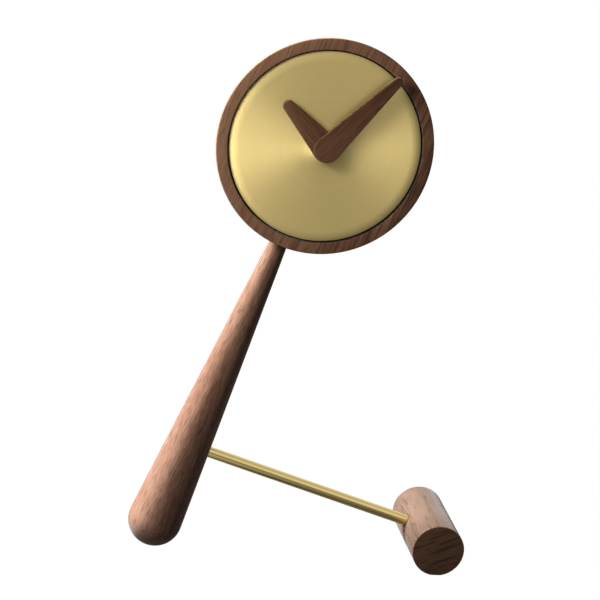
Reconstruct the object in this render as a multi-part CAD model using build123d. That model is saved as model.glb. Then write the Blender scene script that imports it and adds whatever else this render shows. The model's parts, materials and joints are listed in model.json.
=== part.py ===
"""Table clock: a round walnut case with a brass dial, held up by a leaning leg, a brass strut and a roller.

The foot of the leg and the roller stand on z = 0, midway between them in x. The leg's axis lies in the
plane y = 0, and the dial looks along -Y. Pieces of the clock head are drawn in a frame of their own, whose
origin is the middle of the case, with x to the right, y up and z towards the viewer.
"""
import os
from math import acos, asin, atan2, cos, hypot, pi, radians, sin, tan

from build123d import *

# Case and dial
case_radius = 50.0
case_back_radius = 41.5
case_depth = 24.0
case_front = 9.0
case_edge_round = 0.6
case_back_round = 1.5
ring_width = 5.6
ring_inner_round = 0.4
dial_recess = 2.6
dial_gap = 0.7
dial_thickness = 2.4
dial_edge_width = 4.5
dial_edge_drop = 1.1
web_thickness = 3.0

# Collar and hands
collar_radius = 12.0
collar_top_radius = 5.4
collar_height = 1.7
collar_lip = 0.2
collar_hollow = 0.28
hand_thickness = 1.4
hand_gap = 0.3
hand_edge_round = 0.45
minute_hand_length = 45.9
minute_hub_radius = 6.0
minute_tip_radius = 2.2
minute_hand_angle = 41.2
minute_bush_radius = 3.2
minute_bush_depth = 0.8
hour_hand_length = 29.1
hour_hub_radius = 6.4
hour_tip_radius = 2.7
hour_hand_angle = -46.0
hour_bush_radius = 4.4

# Leg, strut and roller
leg_lean = 18.2
leg_length = 195.5
leg_rim_radius = 4.3
leg_foot_radius = 12.8
leg_seat_depth = 6.0
leg_seat_gap = 0.12
leg_top_round = 0.5
stud_radius = 1.95
stud_length = 22.0
insert_radius = 3.0
insert_length = 8.0
strut_radius = 2.6
strut_rise = 39.8
strut_fall = 17.2
strut_leg_depth = 2.0
strut_roller_depth = 4.0
strut_aim = 1.2
strut_entry_gap = 0.35
strut_entry_depth = 1.2
roller_radius = 12.4
roller_length = 52.0
roller_edge_round = 0.35
rest_flat_depth = 0.3

# Movement housing
movement_size = 56.0
movement_depth = 16.2
movement_corner = 4.0
movement_wall = 1.2
front_plate = 1.6
back_plate = 1.4
front_housing_depth = 8.0
pocket_gap = 0.5
washer_thickness = 0.6
washer_radius = 9.0
bush_radius = 3.9
bush_bore = 2.65
bush_flange_radius = 6.0
bush_flange = 1.0
bush_short = 0.2
partition_wall = 1.0
arbor_boss_radius = 3.0
arbor_boss_length = 3.0
post_radius = 1.4
pivot_radius = 0.7

# Wheels
dial_wheel_distance = 12.0
cannon_teeth = 12
minute_wheel_teeth = 36
minute_pinion_teeth = 10
hour_wheel_teeth = 40
setting_teeth = 24
centre_wheel_teeth = 48
third_pinion_teeth = 8
third_wheel_teeth = 60
going_module = 0.42
third_wheel_module = 0.25
wheel_thickness = 1.4
centre_wheel_thickness = 1.2
third_wheel_thickness = 1.0
wheel_gap = 0.3
arbor_radius = 1.6
hour_tube_radius = 2.55
setting_direction = 60.0
setting_shaft_radius = 2.0
setting_knob_radius = 4.6
setting_knob_height = 1.1
setting_knob_flutes = 16
flute_radius = 0.5

# Tooth form
pressure_angle = radians(20)
addendum = 0.8
dedendum = 1.2
backlash = 0.08

# Motor, board and battery
rotor_offset = 9.6
rotor_magnet_radius = 2.8
rotor_magnet_height = 2.8
rotor_spindle_radius = 1.3
stator_thickness = 0.8
stator_gap = 0.5
stator_margin = 4.0
bobbin_height = 9.0
bobbin_length = 16.7
bobbin_flange = 1.0
bobbin_core_radius = 2.0
coil_radius = 3.9
board_thickness = 1.0
board_width = 22.0
board_height = 11.9
board_margin = 1.2
part_margin = 0.4
crystal_radius = 1.0
crystal_length = 6.0
battery_radius = 7.1
battery_length = 50.5
battery_nub_radius = 2.75
battery_nub_length = 1.5
battery_clearance = 0.4
battery_end_gap = 0.2
contact_sheet = 0.4
contact_width = 8.4
contact_leaf_width = 4.0

# Clearances
running_gap = 0.05
seat_gap = 0.02
overlap = 1.0
on_base = (Align.CENTER, Align.CENTER, Align.MIN)

# Levels of the clock head, counted towards the viewer from the leg's plane
recess_floor = case_front - dial_recess
dial_face = recess_floor + dial_thickness
collar_face = dial_face + collar_height
hour_hand_back = collar_face + hand_gap
hour_hand_face = hour_hand_back + hand_thickness
minute_hand_back = hour_hand_face + hand_gap
web_back = recess_floor - web_thickness
case_back = case_front - case_depth
movement_front = web_back - washer_thickness
plate_inside = movement_front - front_plate
housing_split = movement_front - front_housing_depth
movement_back = movement_front - movement_depth
back_inside = movement_back + back_plate
hour_wheel_face = plate_inside - bush_flange - wheel_gap
cannon_face = hour_wheel_face - wheel_thickness - wheel_gap
minute_wheel_face = cannon_face - wheel_gap
centre_wheel_face = minute_wheel_face - wheel_thickness - wheel_thickness
third_pinion_face = centre_wheel_face + wheel_gap
third_wheel_face = centre_wheel_face - centre_wheel_thickness - wheel_gap
board_face = plate_inside - board_thickness
stator_face = board_face - bobbin_height

# Wheel places, in the head's own frame
dial_module = 2 * dial_wheel_distance / (cannon_teeth + minute_wheel_teeth)
hour_module = 2 * dial_wheel_distance / (minute_pinion_teeth + hour_wheel_teeth)
setting_distance = dial_module * (minute_wheel_teeth + setting_teeth) / 2
third_distance = going_module * (centre_wheel_teeth + third_pinion_teeth) / 2
minute_wheel_place = (dial_wheel_distance, 0)
setting_place = (dial_wheel_distance + setting_distance * cos(radians(setting_direction)),
                 setting_distance * sin(radians(setting_direction)))
third_place = (0, third_distance)
rotor_place = (-rotor_offset, third_distance)

# Battery bay, in the head's own frame
inside_half = movement_size / 2 - movement_wall
inside_corner = movement_corner - movement_wall
battery_up = battery_radius + battery_clearance - inside_half
battery_level = movement_back + battery_radius + battery_end_gap
partition_low = battery_up + battery_radius + battery_clearance

# Board and motor places, in the head's own frame
board_left = -inside_half + board_margin
board_top = inside_half - board_margin
bobbin_left = board_left + part_margin
bobbin_up = board_top - bobbin_height / 2 - part_margin
bobbin_level = board_face - bobbin_height / 2

# Stand: where the head, the strut's joint and the two feet are
lean = radians(leg_lean)
fall = radians(strut_fall)
strut_joint = leg_length - strut_rise
foot_height = leg_foot_radius - rest_flat_depth
roller_height = roller_radius - rest_flat_depth
head_height = foot_height + leg_length * cos(lean)
joint_height = head_height - strut_joint * cos(lean)
strut_span = (joint_height - roller_height - strut_aim) / sin(fall)
foot_offset = -leg_length * sin(lean)
roller_offset = -strut_joint * sin(lean) + strut_span * cos(fall)
left_reach = foot_offset - leg_foot_radius
right_reach = roller_offset + roller_radius
head_x = -(left_reach + right_reach) / 2

head = Plane(origin=(head_x, 0, head_height), x_dir=(1, 0, 0), z_dir=(0, -1, 0))
leg_line = Plane(origin=(head_x, 0, head_height), x_dir=(0, -1, 0), z_dir=(-sin(lean), 0, -cos(lean)))
joint_x = head_x - strut_joint * sin(lean)
strut_line = Plane(origin=(joint_x, 0, joint_height), x_dir=(0, 1, 0), z_dir=(cos(fall), 0, -sin(fall)))
roller_centre = (head_x + roller_offset, 0, roller_height)


def disc(radius, low, high, place=(0, 0)):
    """A round bar along z between two levels."""
    bar = Cylinder(radius, high - low, align=on_base)
    return Pos(place[0], place[1], low) * bar


def block(left, right, bottom, top, low, high):
    """A box between limits in x, y and z."""
    centre = Pos((left + right) / 2, (bottom + top) / 2, (low + high) / 2)
    return centre * Box(right - left, top - bottom, high - low)


def rounded_block(half, corner, low, high):
    """A square block with round upright corners, about the head's axis."""
    return Pos(0, 0, low) * extrude(RectangleRounded(2 * half, 2 * half, corner), high - low)


def leg_slope():
    """Angle of the leg's side to its axis: a cone that runs smoothly into the round foot."""
    run = leg_length - case_radius
    return asin(leg_foot_radius / hypot(leg_rim_radius, run)) - atan2(leg_rim_radius, run)


def leg_radius_at(distance):
    """Radius of the leg at a distance down its axis from the middle of the case."""
    slope = leg_slope()
    return leg_foot_radius / cos(slope) + (distance - leg_length) * tan(slope)


leg_top = case_radius - leg_seat_depth
leg_seat_radius = leg_radius_at(case_radius) + leg_seat_gap


def gear_face(teeth, module, turn=0.0):
    """Outline of a gear with involute flanks, one tooth pointing along the turn given in radians."""
    pitch_radius = module * teeth / 2
    base_radius = pitch_radius * cos(pressure_angle)
    tip_radius = pitch_radius + addendum * module
    root_radius = pitch_radius - dedendum * module
    half_at_pitch = pi / (2 * teeth) - backlash / (2 * pitch_radius)
    pitch_involute = tan(pressure_angle) - pressure_angle

    def half_angle(radius):
        angle = acos(min(1.0, base_radius / radius))
        return half_at_pitch + pitch_involute - (tan(angle) - angle)

    start_radius = max(base_radius, root_radius)
    rise = [(radius, half_angle(radius)) for radius in (start_radius, pitch_radius, tip_radius)]
    if root_radius < base_radius:
        rise.insert(0, (root_radius, half_angle(start_radius)))
    points = []
    for tooth in range(teeth):
        middle = turn + 2 * pi * tooth / teeth
        flank = [(radius, middle - half) for radius, half in rise]
        flank += [(radius, middle + half) for radius, half in reversed(rise)]
        points += [(radius * cos(angle), radius * sin(angle)) for radius, angle in flank]
    return make_face(Polyline(*points, close=True))


def gear(teeth, module, high, thickness, place=(0, 0), turn=0.0):
    """A gear whose front face is at a level of the head."""
    return Pos(place[0], place[1], high - thickness) * extrude(gear_face(teeth, module, turn), thickness)


def mesh_turn(direction, teeth):
    """Turn of a gear that puts a gap towards a neighbour whose tooth points along the direction."""
    return direction + pi + pi / teeth


def make_case():
    """Tapering walnut case with a dial recess in front and a pocket for the movement behind."""
    body = Pos(0, 0, case_back) * Cone(case_back_radius, case_radius, case_depth, align=on_base)
    rims = body.edges().filter_by(GeomType.CIRCLE).sort_by(Axis.Z)
    body = fillet(rims[-1], case_edge_round)
    rims = body.edges().filter_by(GeomType.CIRCLE).sort_by(Axis.Z)
    body = fillet(rims[0], case_back_round)
    body -= disc(case_radius - ring_width, recess_floor, case_front + overlap)
    opening = body.edges().filter_by(GeomType.CIRCLE)
    opening = opening.filter_by_position(Axis.Z, case_front - seat_gap, case_front + seat_gap)
    opening = opening.sort_by(SortBy.RADIUS)
    body = fillet(opening[0], ring_inner_round)
    pocket_half = movement_size / 2 + pocket_gap
    body -= rounded_block(pocket_half, movement_corner + pocket_gap, case_back - overlap, web_back)
    body -= disc(bush_radius + pocket_gap, web_back - overlap, recess_floor + overlap)
    body = head * body
    body -= leg_line * disc(leg_seat_radius, leg_top, case_radius + leg_seat_depth)
    body -= leg_line * disc(insert_radius + seat_gap, leg_top - insert_length, leg_top + overlap)
    return body


def make_dial():
    """Spun brass dial plate whose edge bends back in a soft round, seated in the recess."""
    radius = case_radius - ring_width - dial_gap
    hole = bush_radius + pocket_gap
    bend_radius = (dial_edge_width ** 2 + dial_edge_drop ** 2) / (2 * dial_edge_drop)
    bend = asin(dial_edge_width / bend_radius)
    bend_start = (radius - dial_edge_width, dial_face)
    bend_middle = (bend_start[0] + bend_radius * sin(bend / 2),
                   dial_face - bend_radius * (1 - cos(bend / 2)))
    bend_end = (radius, dial_face - dial_edge_drop)
    profile = make_face([Line((hole, recess_floor), (hole, dial_face)),
                         Line((hole, dial_face), bend_start),
                         ThreePointArc(bend_start, bend_middle, bend_end),
                         Line(bend_end, (radius, recess_floor)),
                         Line((radius, recess_floor), (hole, recess_floor))])
    return head * revolve(Plane.XZ * profile, Axis.Z)


def make_collar():
    """Flared brass nut on the threaded bush that clamps dial, case and movement together."""
    bore = bush_radius + running_gap
    lip = dial_face + collar_lip
    flare_middle = ((collar_top_radius + collar_radius) / 2, lip + collar_hollow * (collar_face - lip))
    profile = make_face([Line((bore, dial_face), (bore, collar_face)),
                         Line((bore, collar_face), (collar_top_radius, collar_face)),
                         ThreePointArc((collar_top_radius, collar_face), flare_middle, (collar_radius, lip)),
                         Line((collar_radius, lip), (collar_radius, dial_face)),
                         Line((collar_radius, dial_face), (bore, dial_face))])
    return head * revolve(Plane.XZ * profile, Axis.Z)


def hand_blank(length, hub_radius, tip_radius, back):
    """Tapered hand along +y: two round ends joined by their common tangents, with a rounded front edge."""
    span = length - tip_radius
    side = acos((hub_radius - tip_radius) / span)
    hub_point = Vector(hub_radius * sin(side), hub_radius * cos(side))
    tip_point = Vector(tip_radius * sin(side), span + tip_radius * cos(side))
    hub_left = Vector(-hub_point.X, hub_point.Y)
    tip_left = Vector(-tip_point.X, tip_point.Y)
    outline = [Line(hub_point, tip_point), ThreePointArc(tip_point, (0, length), tip_left),
               Line(tip_left, hub_left), ThreePointArc(hub_left, (0, -hub_radius), hub_point)]
    blank = extrude(make_face(outline), hand_thickness)
    blank = fillet(blank.faces().sort_by(Axis.Z)[-1].edges(), hand_edge_round)
    return Pos(0, 0, back) * blank


def turned_hand(blank, clock_angle):
    """Turn a hand clockwise from twelve and put it on the head."""
    return head * (Rot(0, 0, -clock_angle) * blank)


def make_hour_hand():
    """Walnut hour hand, bored for its brass bush."""
    blank = hand_blank(hour_hand_length, hour_hub_radius, hour_tip_radius, hour_hand_back)
    hole = disc(hour_bush_radius + seat_gap, hour_hand_back - overlap, hour_hand_face + overlap)
    return turned_hand(blank - hole, hour_hand_angle)


def make_hour_bush():
    """Brass bush that holds the hour hand on the hour wheel's tube."""
    ring = disc(hour_bush_radius, hour_hand_back, hour_hand_face)
    bore = disc(hour_tube_radius + seat_gap, hour_hand_back - overlap, hour_hand_face + overlap)
    return head * (ring - bore)


def make_minute_hand():
    """Walnut minute hand with a blind pocket for its bush, so that its face is plain."""
    blank = hand_blank(minute_hand_length, minute_hub_radius, minute_tip_radius, minute_hand_back)
    depth = minute_hand_back + minute_bush_depth
    pocket = disc(minute_bush_radius + seat_gap, minute_hand_back - overlap, depth)
    return turned_hand(blank - pocket, minute_hand_angle)


def make_minute_bush():
    """Brass bush that holds the minute hand on its arbor."""
    high = minute_hand_back + minute_bush_depth
    ring = disc(minute_bush_radius, minute_hand_back, high)
    return head * (ring - disc(arbor_radius + seat_gap, minute_hand_back - overlap, high + overlap))


def make_leg():
    """Tapered walnut leg with a round foot, drilled for its stud and for the strut."""
    slope = leg_slope()
    touch_radius = leg_foot_radius * cos(slope)
    touch = leg_length - leg_foot_radius * sin(slope)
    belly = leg_foot_radius * sin(pi / 4)
    tip = leg_length + leg_foot_radius
    side = Line((leg_radius_at(leg_top), leg_top), (touch_radius, touch))
    foot = ThreePointArc((touch_radius, touch), (belly, leg_length + belly), (0, tip))
    axis_line = Line((0, tip), (0, leg_top))
    top_line = Line((0, leg_top), (leg_radius_at(leg_top), leg_top))
    profile = make_face([side, foot, axis_line, top_line])
    body = revolve(Plane.XZ * profile, Axis.Z)
    body = fillet(body.edges().filter_by(GeomType.CIRCLE).sort_by(Axis.Z)[0], leg_top_round)
    body -= disc(stud_radius + seat_gap, leg_top - overlap, leg_top + stud_length - insert_length)
    body = leg_line * body
    body -= strut_line * disc(strut_radius + seat_gap, -strut_leg_depth, leg_foot_radius + overlap)
    return body - floor_block()


def floor_block():
    """Everything under the surface that the clock stands on, as far as the feet reach."""
    half = right_reach - left_reach
    return block(-half, half, -half, half, -leg_foot_radius, 0)


def make_stud():
    """Steel stud between the insert in the case and the leg."""
    return leg_line * disc(stud_radius, leg_top - insert_length, leg_top + stud_length - insert_length)


def make_insert():
    """Brass insert in the case for the stud."""
    ring = disc(insert_radius, leg_top - insert_length, leg_top)
    bore = disc(stud_radius + seat_gap, leg_top - insert_length - overlap, leg_top + overlap)
    return leg_line * (ring - bore)


def make_strut():
    """Brass strut from the leg to the roller, whose axis passes a little over the roller's."""
    return strut_line * disc(strut_radius, -strut_leg_depth, strut_span + strut_roller_depth)


def make_roller():
    """Walnut roller foot across the stand, drilled for the strut and flat where it rests."""
    body = Rot(90, 0, 0) * Cylinder(roller_radius, roller_length)
    body = Pos(*roller_centre) * fillet(body.edges().filter_by(GeomType.CIRCLE), roller_edge_round)
    entry = strut_span - roller_radius
    body -= strut_line * disc(strut_radius + seat_gap, entry - overlap, strut_span + strut_roller_depth)
    body -= strut_line * disc(strut_radius + strut_entry_gap, entry - overlap, entry + strut_entry_depth)
    return body - floor_block()


def make_washer():
    """Rubber washer between the movement and the case."""
    ring = disc(washer_radius, movement_front, web_back)
    return head * (ring - disc(bush_radius + pocket_gap, movement_front - overlap, web_back + overlap))


def make_threaded_bush():
    """Hollow threaded bush of the movement, with the flange that the front plate holds."""
    body = disc(bush_flange_radius, plate_inside - bush_flange, plate_inside)
    body += disc(bush_radius, plate_inside - bush_flange, collar_face - bush_short)
    return head * (body - disc(bush_bore, plate_inside - bush_flange - overlap, collar_face + overlap))


def post(place, shoulder, end):
    """Moulded post with a thinner pivot pin for a wheel."""
    thick = disc(post_radius, shoulder, plate_inside + front_plate / 2, place)
    return thick + disc(pivot_radius, end, shoulder, place)


def partition(low, high):
    """Wall between the wheels and the battery bay."""
    return block(-inside_half, inside_half, partition_low, partition_low + partition_wall, low, high)


def make_front_housing():
    """Front half of the movement's housing: plate, walls, partition and the posts that carry the wheels."""
    body = rounded_block(movement_size / 2, movement_corner, housing_split, movement_front)
    body -= rounded_block(inside_half, inside_corner, housing_split - overlap, plate_inside)
    body += partition(housing_split, plate_inside)
    minute_wheel_back = minute_wheel_face - wheel_thickness
    third_wheel_back = third_wheel_face - third_wheel_thickness
    body += post(minute_wheel_place, hour_wheel_face + wheel_gap, minute_wheel_back - wheel_gap)
    body += post(setting_place, minute_wheel_face + wheel_gap, centre_wheel_face)
    body += post(third_place, third_pinion_face + wheel_gap, third_wheel_back - wheel_gap)
    body += post(rotor_place, plate_inside - wheel_gap, stator_face - stator_thickness)
    body -= disc(bush_radius + pocket_gap, plate_inside - overlap, movement_front + overlap)
    return head * body


def make_back_housing():
    """Back half of the housing, open over the battery, with bearings for arbor and setting shaft."""
    body = rounded_block(movement_size / 2, movement_corner, movement_back, housing_split)
    body -= rounded_block(inside_half, inside_corner, back_inside, housing_split + overlap)
    body += partition(back_inside, housing_split)
    body += disc(arbor_boss_radius, back_inside - overlap, back_inside + arbor_boss_length)
    body -= disc(arbor_radius + running_gap, back_inside, housing_split)
    bay_half = battery_length / 2 + battery_clearance
    low = movement_back - overlap
    body -= block(-bay_half, bay_half, -inside_half, partition_low, low, back_inside + overlap)
    body -= disc(setting_shaft_radius + running_gap, low, housing_split, setting_place)
    return head * body


def make_hour_wheel():
    """Hour wheel with the tube that carries the hour hand through the bush."""
    body = gear(hour_wheel_teeth, hour_module, hour_wheel_face, wheel_thickness)
    body += disc(hour_tube_radius, hour_wheel_face - wheel_thickness, hour_hand_face)
    back = hour_wheel_face - wheel_thickness - overlap
    return head * (body - disc(arbor_radius + running_gap, back, hour_hand_face + overlap))


def make_minute_arbor():
    """Centre arbor that carries the minute hand, with its cannon pinion."""
    body = disc(arbor_radius, back_inside + wheel_gap, minute_hand_back + minute_bush_depth)
    cannon_thickness = cannon_face - centre_wheel_face - wheel_gap
    return head * (body + gear(cannon_teeth, dial_module, cannon_face, cannon_thickness))


def make_centre_wheel():
    """Centre wheel, a friction fit on the arbor."""
    body = gear(centre_wheel_teeth, going_module, centre_wheel_face, centre_wheel_thickness, turn=pi / 2)
    low = centre_wheel_face - centre_wheel_thickness - overlap
    return head * (body - disc(arbor_radius + seat_gap, low, centre_wheel_face + overlap))


def make_minute_wheel():
    """Minute wheel: driven by the cannon pinion, with the pinion that drives the hour wheel."""
    place = minute_wheel_place
    turn = mesh_turn(0.0, minute_wheel_teeth)
    body = gear(minute_wheel_teeth, dial_module, minute_wheel_face, wheel_thickness, place, turn)
    length = hour_wheel_face - minute_wheel_face
    turn = mesh_turn(0.0, minute_pinion_teeth)
    body += gear(minute_pinion_teeth, hour_module, hour_wheel_face, length, place, turn)
    low = minute_wheel_face - wheel_thickness - overlap
    return head * (body - disc(pivot_radius + running_gap, low, hour_wheel_face + overlap, place))


def make_setting_knob():
    """Setting wheel, shaft and fluted knob behind, in one moulding."""
    place = setting_place
    direction = radians(setting_direction)
    tooth = mesh_turn(0.0, minute_wheel_teeth)
    pitch = 2 * pi / minute_wheel_teeth
    phase = (direction - tooth) % pitch
    turn = mesh_turn(direction, setting_teeth) + phase * minute_wheel_teeth / setting_teeth
    low = movement_back - wheel_gap - setting_knob_height
    body = gear(setting_teeth, dial_module, minute_wheel_face, wheel_thickness, place, turn)
    body += disc(setting_shaft_radius, low, minute_wheel_face, place)
    knob = disc(setting_knob_radius, low, movement_back - wheel_gap)
    for flute in range(setting_knob_flutes):
        angle = 2 * pi * flute / setting_knob_flutes
        spot = (setting_knob_radius * cos(angle), setting_knob_radius * sin(angle))
        knob -= disc(flute_radius, low - overlap, movement_back, spot)
    body += Pos(place[0], place[1], 0) * knob
    depth = centre_wheel_face - wheel_gap
    return head * (body - disc(pivot_radius + running_gap, depth, minute_wheel_face + overlap, place))


def make_third_wheel():
    """Third wheel, whose pinion drives the centre wheel."""
    place = third_place
    length = third_pinion_face - third_wheel_face
    turn = mesh_turn(pi / 2, third_pinion_teeth)
    body = gear(third_pinion_teeth, going_module, third_pinion_face, length, place, turn)
    body += gear(third_wheel_teeth, third_wheel_module, third_wheel_face, third_wheel_thickness, place)
    low = third_wheel_face - third_wheel_thickness - overlap
    return head * (body - disc(pivot_radius + running_gap, low, third_pinion_face + overlap, place))


def make_rotor():
    """Magnet rotor of the stepping motor on its spindle."""
    high = plate_inside - 2 * wheel_gap
    low = stator_face - stator_thickness / 2 - rotor_magnet_height / 2
    body = disc(rotor_spindle_radius, low, high, rotor_place)
    body += disc(rotor_magnet_radius, low, low + rotor_magnet_height, rotor_place)
    return head * (body - disc(pivot_radius + running_gap, low - overlap, high + overlap, rotor_place))


def make_stator():
    """Soft-iron stator plate across the coil's flanges, open round the rotor."""
    right = rotor_place[0] + stator_margin
    bottom = rotor_place[1] - stator_margin
    top = bobbin_up + bobbin_height / 2
    low = stator_face - stator_thickness
    plate = block(bobbin_left, right, bottom, top, low, stator_face)
    hole = disc(rotor_magnet_radius + stator_gap, low - overlap, stator_face + overlap, rotor_place)
    return head * (plate - hole)


def along_x(radius, left, right, up, level):
    """A round bar along x."""
    bar = Cylinder(radius, right - left)
    return Pos((left + right) / 2, up, level) * (Rot(0, 90, 0) * bar)


def make_bobbin():
    """Coil former on the board: two square flanges on a round core."""
    right = bobbin_left + bobbin_length
    bottom = bobbin_up - bobbin_height / 2
    top = bobbin_up + bobbin_height / 2
    body = along_x(bobbin_core_radius, bobbin_left, right, bobbin_up, bobbin_level)
    body += block(bobbin_left, bobbin_left + bobbin_flange, bottom, top, stator_face, board_face)
    body += block(right - bobbin_flange, right, bottom, top, stator_face, board_face)
    return head * body


def make_winding():
    """Enamelled copper winding, drawn as one solid sleeve on the former."""
    left = bobbin_left + bobbin_flange + seat_gap
    right = bobbin_left + bobbin_length - bobbin_flange - seat_gap
    sleeve = along_x(coil_radius, left, right, bobbin_up, bobbin_level)
    core = along_x(bobbin_core_radius + seat_gap, left - overlap, right + overlap, bobbin_up, bobbin_level)
    return head * (sleeve - core)


def make_board():
    """Circuit board on the inside of the front plate."""
    right = board_left + board_width
    bottom = board_top - board_height
    return head * block(board_left, right, bottom, board_top, board_face, plate_inside)


def make_crystal():
    """Quartz crystal can lying on the board."""
    up = board_top - board_height + crystal_radius + seat_gap
    left = board_left + part_margin
    level = board_face - crystal_radius - seat_gap
    return head * along_x(crystal_radius, left, left + crystal_length, up, level)


def make_battery():
    """Round cell with its positive nub to the right."""
    half = battery_length / 2
    can = along_x(battery_radius, -half, half - battery_nub_length, battery_up, battery_level)
    can += along_x(battery_nub_radius, -half, half, battery_up, battery_level)
    return head * can


def square_pad(left, right, width):
    """A square pad across the battery's axis."""
    half = width / 2
    low = battery_level - half
    high = battery_level + half
    return block(left, right, battery_up - half, battery_up + half, low, high)


def make_contact(side):
    """Sheet contact on an end wall of the battery bay, with a raised leaf towards the cell."""
    body = square_pad(inside_half - contact_sheet, inside_half, contact_width)
    reach = battery_length / 2 + battery_end_gap
    body += square_pad(reach, inside_half - contact_sheet, contact_leaf_width)
    if side < 0:
        body = mirror(body, about=Plane.YZ)
    return head * body


pieces = {
    "case_body": make_case(),
    "dial_plate": make_dial(),
    "centre_collar": make_collar(),
    "hour_hand": make_hour_hand(),
    "hour_hand_bush": make_hour_bush(),
    "minute_hand": make_minute_hand(),
    "minute_hand_bush": make_minute_bush(),
    "leg": make_leg(),
    "leg_stud": make_stud(),
    "leg_insert": make_insert(),
    "strut_rod": make_strut(),
    "roller_foot": make_roller(),
    "rubber_washer": make_washer(),
    "threaded_bush": make_threaded_bush(),
    "movement_front_housing": make_front_housing(),
    "movement_back_housing": make_back_housing(),
    "hour_wheel": make_hour_wheel(),
    "minute_arbor": make_minute_arbor(),
    "centre_wheel": make_centre_wheel(),
    "minute_wheel": make_minute_wheel(),
    "setting_knob": make_setting_knob(),
    "third_wheel": make_third_wheel(),
    "rotor": make_rotor(),
    "stator": make_stator(),
    "coil_bobbin": make_bobbin(),
    "coil_winding": make_winding(),
    "circuit_board": make_board(),
    "quartz_crystal": make_crystal(),
    "battery": make_battery(),
    "contact_positive": make_contact(1),
    "contact_negative": make_contact(-1),
}

os.makedirs("parts", exist_ok=True)
for node, shape in pieces.items():
    export_step(shape, f"parts/{node}.step")
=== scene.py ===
"""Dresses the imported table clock: oiled walnut, spun brass and a quartz movement, on a pale studio floor."""
import json
from math import acos, asin, atan2, cos, degrees, hypot, pi, radians, sin, tan

import bmesh
import bpy
from mathutils import Matrix, Vector


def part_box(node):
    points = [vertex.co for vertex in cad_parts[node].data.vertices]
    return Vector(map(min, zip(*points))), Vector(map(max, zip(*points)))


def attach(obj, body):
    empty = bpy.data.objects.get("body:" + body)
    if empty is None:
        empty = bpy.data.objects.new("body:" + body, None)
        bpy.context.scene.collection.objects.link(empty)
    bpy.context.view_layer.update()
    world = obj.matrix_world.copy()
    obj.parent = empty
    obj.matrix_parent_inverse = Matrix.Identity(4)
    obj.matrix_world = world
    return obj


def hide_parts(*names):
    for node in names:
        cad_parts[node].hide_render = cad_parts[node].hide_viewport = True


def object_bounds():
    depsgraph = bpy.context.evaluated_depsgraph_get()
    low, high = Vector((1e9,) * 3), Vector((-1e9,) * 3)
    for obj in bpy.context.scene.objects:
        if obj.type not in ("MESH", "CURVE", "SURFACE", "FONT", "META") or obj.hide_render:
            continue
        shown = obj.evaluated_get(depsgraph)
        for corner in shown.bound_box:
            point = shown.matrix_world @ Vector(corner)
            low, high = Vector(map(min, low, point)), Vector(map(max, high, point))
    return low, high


bl_info = {
    "name": "Walnut Table Clock",
    "version": (1, 0, 0),
    "blender": (4, 5, 0),
    "location": "3D View > Sidebar > Clock",
    "description": "Builds a walnut and brass table clock around its packed frame",
    "category": "Object",
}

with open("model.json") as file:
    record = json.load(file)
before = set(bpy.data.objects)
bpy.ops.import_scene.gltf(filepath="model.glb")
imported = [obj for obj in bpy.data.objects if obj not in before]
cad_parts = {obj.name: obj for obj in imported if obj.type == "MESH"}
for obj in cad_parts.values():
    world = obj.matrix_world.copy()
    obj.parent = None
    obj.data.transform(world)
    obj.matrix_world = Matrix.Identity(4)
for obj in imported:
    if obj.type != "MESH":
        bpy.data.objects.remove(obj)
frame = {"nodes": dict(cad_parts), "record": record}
cad_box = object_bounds()
record = frame["record"]
behaviour = record["behaviour"]

MM = 0.001
MERGE_DISTANCE = 0.001 * MM
CUT_OVERLAP = 2 * MM
FLOOR_GAP = 0.2 * MM
PHOTO_WIDTH = 600
SENSOR_WIDTH = 36.0
SPIN_MAP = "spin"
LEG_RINGS = 240
LEG_SIDES = 128

# The stretch of a noise that most of its values lie in, and the narrower one for mottled colours
NOISE_LOW, NOISE_HIGH = 0.3, 0.7
MOTTLE_LOW, MOTTLE_HIGH = 0.35, 0.65

# Walnut's patterns: how fine per millimetre, and how that changes across, through and along the grain
DRIFT_FINENESS, DRIFT_DRAWN = 0.11, (1, 0.5, 0.05)
BAND_FINENESS, BAND_DRAWN = 0.42, (1, 0.22, 0.02)
FIBRE_FINENESS, FIBRE_DRAWN = 2.6, (1, 1, 0.035)
PORE_FINENESS, PORE_DRAWN = 1.9, (1, 1, 0.07)
END_FINENESS, END_DRAWN = 0.8, (1, 0.06, 1)

# Walnut's tone: what each pattern adds to it, and the tones at which the three colours sit
BAND_SHARE, GRAIN_SHARE, DRIFT_SHARE = 0.62, 0.88, 0.22
DARK_TONE, MIDDLE_TONE, LIGHT_TONE = 0.40, 0.53, 0.68
PORE_START, PORE_FULL = 0.60, 0.70
PORE_STRENGTH, PORE_SHADE = 0.62, 0.45
# Painted light: the case's walnut grows paler towards the upper left, where the light falls
CASE_PAINTED_LIGHT_SIDE = Vector((-1.9, 0, 0.5))
# Painted shade: the near-black put on the dial's recess, where it lies in shadow
RECESS_SHADE_COLOUR = (0.004, 0.003, 0.003, 1.0)

joint_places = {joint["name"]: Vector(joint["pos_m"]) for joint in behaviour["joints"] if "pos_m" in joint}
body_of_node = {node: body for body, nodes in behaviour["bodies"].items() for node in nodes}

head_centre = joint_places["minute_hand_turn"]
case_low, case_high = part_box("case_body")
dial_low, dial_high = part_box("dial_plate")
roller_low, roller_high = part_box("roller_foot")
strut_low, strut_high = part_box("strut_rod")
housing_low, housing_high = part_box("movement_front_housing")


def setting(kind, **ways):
    """A short way to write properties of one kind: name, description and default."""
    def made(name, description, default):
        return kind(name=name, description=description, default=default, **ways)
    return made


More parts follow.
